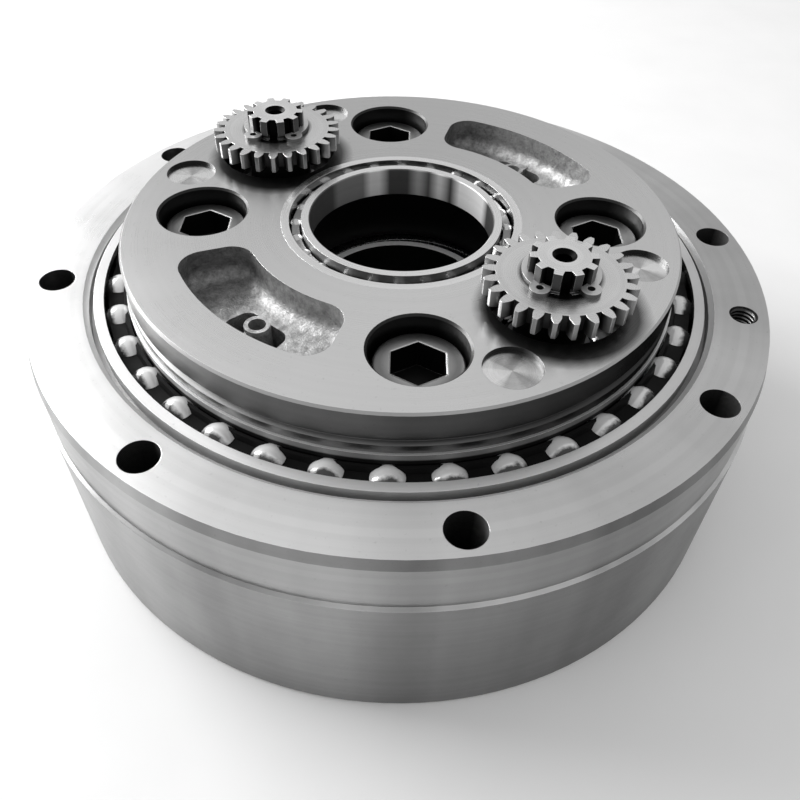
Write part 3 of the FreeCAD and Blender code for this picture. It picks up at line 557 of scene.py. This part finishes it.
# Bearing rings
# painted light by bearing on the ring faces, with a painted highlight crescent at the back right
ring_face = turned_steel("ring_face", 0.84, 0.34, groove=0.2, aniso=0.4, stain=0.06, edge=0.12 * MM,
                         metal=0.75, shades=[by_bearing(RING_LIGHT_DEG, 0.75, 1.15),
                                             by_bearing(CRESCENT_DEG, 1.0, 1.6, start=0.8, end=0.95)])
ring_race = ground_steel("ring_race", 0.55, 0.18)
# painted light and shade: the groove is lighter towards the lamp at the back left and darker away from it
groove_painted_light = ground_steel("groove_painted_light", 0.90, 0.4, stain=0.15, metal=0.3, shades=[
    by_bearing(LIGHT_DEG, 0.35, 1.1)])
# painted shade just below the lip's top, and painted light by bearing
lip_side = ground_steel("lip_side", 0.55, 0.65, metal=0.6, shades=[
    by_height(FLANGE_Z - LIP_HEIGHT, FLANGE_Z, 0.03, 1.0),
    by_bearing(LIGHT_DEG, 0.4, 1.5)])
centre_face = turned_steel("centre_face", 0.88, 0.26, groove=0.2, aniso=0.4, stain=0.04, edge=0.15 * MM)
# painted light on the left of the centre groove
centre_groove = ground_steel("centre_groove", 0.24, 0.4, stain=0.3, shades=[
    by_bearing(LEFT_DEG, 1.0, 3.5, start=0.3, end=0.9)])
# painted reflections round the inner bore
inner_bore = turned_steel("inner_bore", 0.93, 0.35, groove=0.2, aniso=0.5, stain=0.02, metal=0.1, edge_wear_and_painted_light=0.0,
                          shades=[by_patches(base=0.08, fade=8.0, patches=BORE_REFLECTIONS)])


def outer_ring_choice(point, normal):
    if from_axis(point) > GROOVE_R:
        return groove_painted_light
    return ring_face if abs(normal.z) > FLAT else ring_race


def centre_ring_choice(point, normal):
    if from_axis(point) > INNER_BORE_R + MM and normal.z < FLAT:
        return centre_groove
    return centre_face if abs(normal.z) > FLAT else inner_bore


dress("upper_outer_ring", ring_face, ring_race, groove_painted_light, choose=outer_ring_choice)
dress("centre_bearing_inner_ring", centre_face, inner_bore, centre_groove, choose=centre_ring_choice)
dress_turned("upper_inner_ring", ring_face, lip_side)
dress_turned("centre_bearing_outer_ring", centre_face, ring_race)
for node in ("lower_outer_ring", "lower_inner_ring", "crank_cups_upper", "crank_cups_lower",
             "crank_cones_a", "crank_cones_b"):
    dress_turned(node, ring_face, ring_race)

# Balls, rollers, needles and cages
# painted reflection: the balls darken towards the outer ring, whose dark wall they mirror
polished_ball = ground_steel("polished_ball", 0.95, 0.14, stain=0.03, edge=0.05 * MM, metal=0.22,
                             shades=[by_radius(AXIS, BALL_LIT_R, BALL_DARK_R, 1.0, 0.06, wobble=0.8 * MM,
                                               grain=260.0)])
roller = ground_steel("roller", 0.72, 0.14, stain=0.04)
pressed_cage = ground_steel("pressed_cage", 0.12, 0.40)
black_cage = moulded("black_cage", 0.004, 0.62, shine=0.15)
dress("upper_balls", polished_ball)
dress("lower_balls", ground_steel("lower_ball", 0.90, 0.12, stain=0.03, edge=0.05 * MM))
dress("centre_bearing_balls", ground_steel("shaded_ball", 0.62, 0.24))
dress("upper_ball_cage", black_cage)
dress("lower_ball_cage", black_cage)
dress("centre_bearing_cage", ground_steel("light_cage", 0.32, 0.40))
dress("case_pins", roller)
for tail in ("a_upper", "a_lower", "b_upper", "b_lower"):
    dress("taper_rollers_" + tail, roller)
    dress("needles_" + tail, roller)
    dress("taper_cage_" + tail, pressed_cage)
    dress("needle_cage_" + tail, pressed_cage)

# Seal
dress("oil_seal", moulded("seal_rubber", 0.02, 0.5))
dress("seal_spring", ground_steel("spring_wire", 0.6, 0.25))

# Screws: each head is turned about its own axis
# each head has a painted highlight round its hex socket and painted highlights on its edges
heads = [turned_steel(f"screw_{k}", 0.24, 0.34, axis, groove=0.4, aniso=0.4, stain=0.2, edge=1.1 * MM,
                      edge_wear_and_painted_light=0.35, shades=[by_radius(axis, SOCKET_R, SOCKET_R + SOCKET_RIM, 1.5, 1.0)])
         for k, axis in enumerate(SCREWS)]
# painted shade: near black inside the hex sockets
socket_wall = ground_steel("socket_wall", 0.03, 0.4, edge=0.1 * MM)


def screw_choice(point, normal):
    k = nearest(SCREWS, point)
    return socket_wall if within(point, SCREWS[k], SOCKET_R) and point.z < SOCKET_TOP else heads[k]


dress("carrier_screws", *heads, socket_wall, choose=screw_choice)

# Plugs: each is turned about its own axis
# painted highlights: fans and two light wedges across each plug
plugs = [turned_steel(f"plug_{k}", 0.74, 0.24, axis, groove=0.4, aniso=0.85, stain=0.03, fans=0.12,
                      fan_scale=1.6, shades=[by_fan(axis, PLUG_FAN_DEG, 0.70, 1.4)])
         for k, axis in enumerate(PLUGS)]
dress("blanking_plugs", *plugs, choose=lambda point, normal: plugs[nearest(PLUGS, point)])

# Tube, caps and snap rings
tube_rim = turned_steel("tube_rim", 0.90, 0.35, groove=0.1, aniso=0.3, stain=0.02, metal=0.3)
# painted shade: near black inside the tube
tube_wall = turned_steel("tube_wall", 0.03, 0.5, groove=0.3, aniso=0.3, edge=0.1 * MM)
dress_turned("centre_tube", tube_rim, tube_wall)
dress("crank_end_caps", ground_steel("cap", 0.5, 0.35))
dress("crank_snap_rings", ground_steel("snap_ring", 0.35, 0.4))

# Crankshafts, gears and circlips
for name, centre in CRANKS.items():
    axis = Vector((centre.x, centre.y, 0))
    # painted shadow on the gear face round the circlip
    gear_face = turned_steel("gear_face_" + name, 0.76, 0.27, axis, groove=0.3, aniso=0.4, stain=0.08,
                             edge=0.3 * MM, shades=[by_radius(axis, CLIP_R, CLIP_R + CLIP_SHADOW, 0.08, 1.0,
                                                              wobble=0.2 * MM)])
    # painted shade in the tooth roots, with painted highlights on the edges
    gear_flank = ground_steel("gear_flank_" + name, 0.42, 0.30, edge=0.3 * MM, edge_wear_and_painted_light=0.5, shades=[
        by_radius(axis, GEAR_ROOT_R, GEAR_TIP_R, 0.12, 1.0)])
    dress_turned("crank_gear_" + name, gear_face, gear_flank)
    shaft_end = turned_steel("shaft_end_" + name, 0.88, 0.28, axis, groove=0.3, aniso=0.4)
    # painted shade: dark spline sides, darker still in the roots
    shaft_side = ground_steel("shaft_side_" + name, 0.08, 0.35, edge=0.2 * MM, edge_wear_and_painted_light=0.4, shades=[
        by_radius(axis, SPLINE_ROOT_R, SPLINE_TIP_R, 0.05, 1.0)])
    dress_turned("crankshaft_" + name, shaft_end, shaft_side)
    clip_face = ground_steel("clip_face_" + name, 0.66, 0.30, edge=0.2 * MM, metal=0.7)
    # painted shade on the circlip's sides
    clip_side = ground_steel("clip_side_" + name, 0.14, 0.40, edge=0.2 * MM)
    dress_turned("gear_circlip_" + name, clip_face, clip_side)

# Cycloid discs
for level in ("upper", "lower"):
    dress("cycloid_disc_" + level, ground_steel("disc_" + level, 0.58, 0.24))

# Floor
FLOOR_SIZE = 8.0
FLOOR_Z = -0.5 * MM


def square(name, size, z):
    half = size / 2
    corners = [(-half, -half, z), (half, -half, z), (half, half, z), (-half, half, z)]
    mesh = bpy.data.meshes.new(name)
    mesh.from_pydata(corners, [], [(0, 1, 2, 3)])
    thing = bpy.data.objects.new(name, mesh)
    bpy.context.scene.collection.objects.link(thing)
    return thing


floor = square("floor", FLOOR_SIZE, FLOOR_Z)
floor.data.materials.append(paper("paper"))

# Light: a large soft lamp at the upper left, in metres and watts, and a grey sky, a little lighter overhead
KEY_PLACE = Vector((-0.85, 0.40, 0.50))
KEY_AIM = Vector((0, 0, FLANGE_Z))
KEY_WIDTH = 0.8
KEY_HEIGHT = 0.7
KEY_POWER = 13
SKY_TONE_LOW = 0.62
SKY_TONE_HIGH = 0.66
SKY_HIGH = 0.9

lamp = bpy.data.lights.new("key_left", "AREA")
lamp.shape = "RECTANGLE"
lamp.size = KEY_WIDTH
lamp.size_y = KEY_HEIGHT
lamp.energy = KEY_POWER
key = bpy.data.objects.new("key_left", lamp)
key.location = KEY_PLACE
key.rotation_mode = "QUATERNION"
key.rotation_quaternion = (KEY_AIM - KEY_PLACE).to_track_quat("-Z", "Y")
bpy.context.scene.collection.objects.link(key)

world = bpy.data.worlds.new("studio")
bpy.context.scene.world = world
world.use_nodes = True
tree = world.node_tree
sky_place = tree.nodes.new("ShaderNodeTexCoord")
sky_parts = tree.nodes.new("ShaderNodeSeparateXYZ")
sky_tone = tree.nodes.new("ShaderNodeMapRange")
sky_tone.inputs["From Min"].default_value = 0.0
sky_tone.inputs["From Max"].default_value = SKY_HIGH
sky_tone.inputs["To Min"].default_value = SKY_TONE_LOW
sky_tone.inputs["To Max"].default_value = SKY_TONE_HIGH
background = tree.nodes["Background"]
background.inputs["Strength"].default_value = 1.0
tree.links.new(sky_place.outputs["Generated"], sky_parts.inputs[0])
tree.links.new(sky_parts.outputs["Z"], sky_tone.inputs["Value"])
tree.links.new(sky_tone.outputs["Result"], background.inputs["Color"])

# The photograph's viewpoint, found from the ellipses of its round edges, in metres from the flange's middle
# and radians
VIEW_PLACE = Vector((0.0, -0.20166, 0.14182))
VIEW_FOCAL_PX = 774.0
PICTURE_PX = 800.0
SENSOR_MM = 36.0
PAN = -0.0039334
TILT = -0.1821843
ROLL = -0.0256920
NEAR = 0.01
FAR = 20.0

lens = bpy.data.cameras.new("camera")
lens.sensor_width = SENSOR_MM
lens.lens = VIEW_FOCAL_PX / PICTURE_PX * SENSOR_MM
lens.clip_start = NEAR
lens.clip_end = FAR
camera = bpy.data.objects.new("camera", lens)
bpy.context.scene.collection.objects.link(camera)
ahead = -VIEW_PLACE.normalized()
right = Vector((1, 0, 0))
up = right.cross(ahead)
ahead, right = (Matrix.Rotation(PAN, 3, up) @ axis for axis in (ahead, right))
ahead, up = (Matrix.Rotation(TILT, 3, right) @ axis for axis in (ahead, up))
right, up = (Matrix.Rotation(ROLL, 3, ahead) @ axis for axis in (right, up))
turn = Matrix((right, up, -ahead)).transposed().to_4x4()
camera.matrix_world = Matrix.Translation(VIEW_PLACE + Vector((0, 0, FLANGE_Z))) @ turn
bpy.context.scene.camera = camera
bpy.context.scene.view_settings.view_transform = "Standard"
